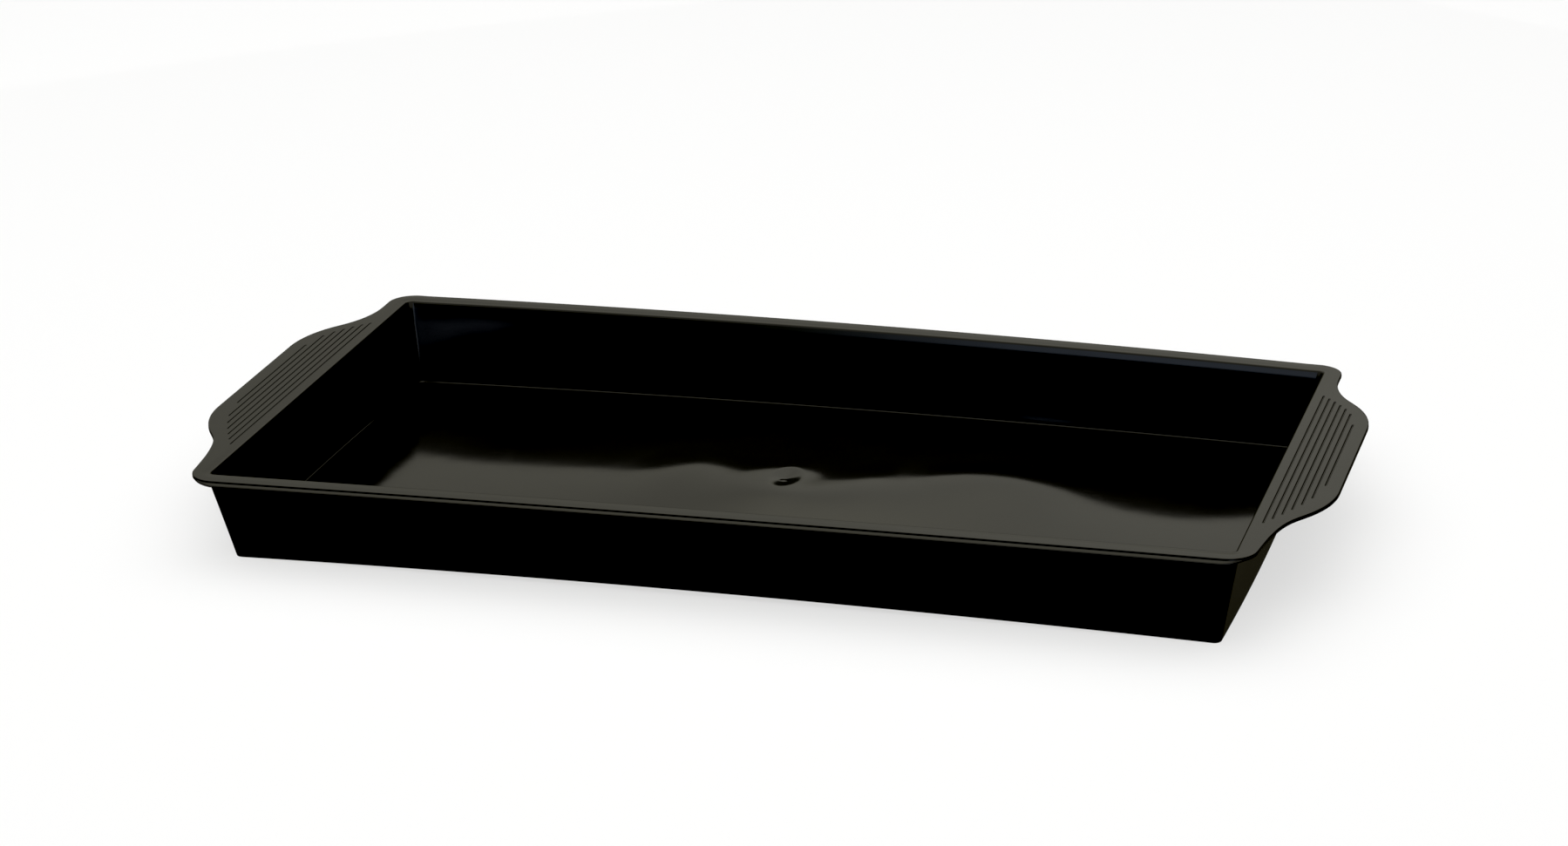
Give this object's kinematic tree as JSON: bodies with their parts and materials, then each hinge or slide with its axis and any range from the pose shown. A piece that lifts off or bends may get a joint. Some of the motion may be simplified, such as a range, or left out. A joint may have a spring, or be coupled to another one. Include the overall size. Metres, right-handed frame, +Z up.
{
  "type": "paint roller tray",
  "caption": "Shallow rectangular black plastic paint tray with leaning walls, a flat floor, a flat rim with a turned-down edge and a grooved handle plate at each short end.",
  "frame": {"origin": "middle of the flat underside, at the height of the surface that the tray stands on", "axes": "+X along the tray's length towards the right handle, +Y across it towards the rear rim, +Z up out of the mouth"},
  "size_m": [0.568, 0.289, 0.047],
  "materials": {
    "black_plastic": "glossy black polypropylene, as moulded, with faint haze and handling marks"
  },
  "bodies": {
    "root": {"tray_pan": "black_plastic", "front_rim": "black_plastic", "rear_rim": "black_plastic", "left_handle": "black_plastic", "right_handle": "black_plastic"}
  },
  "joints": []
}
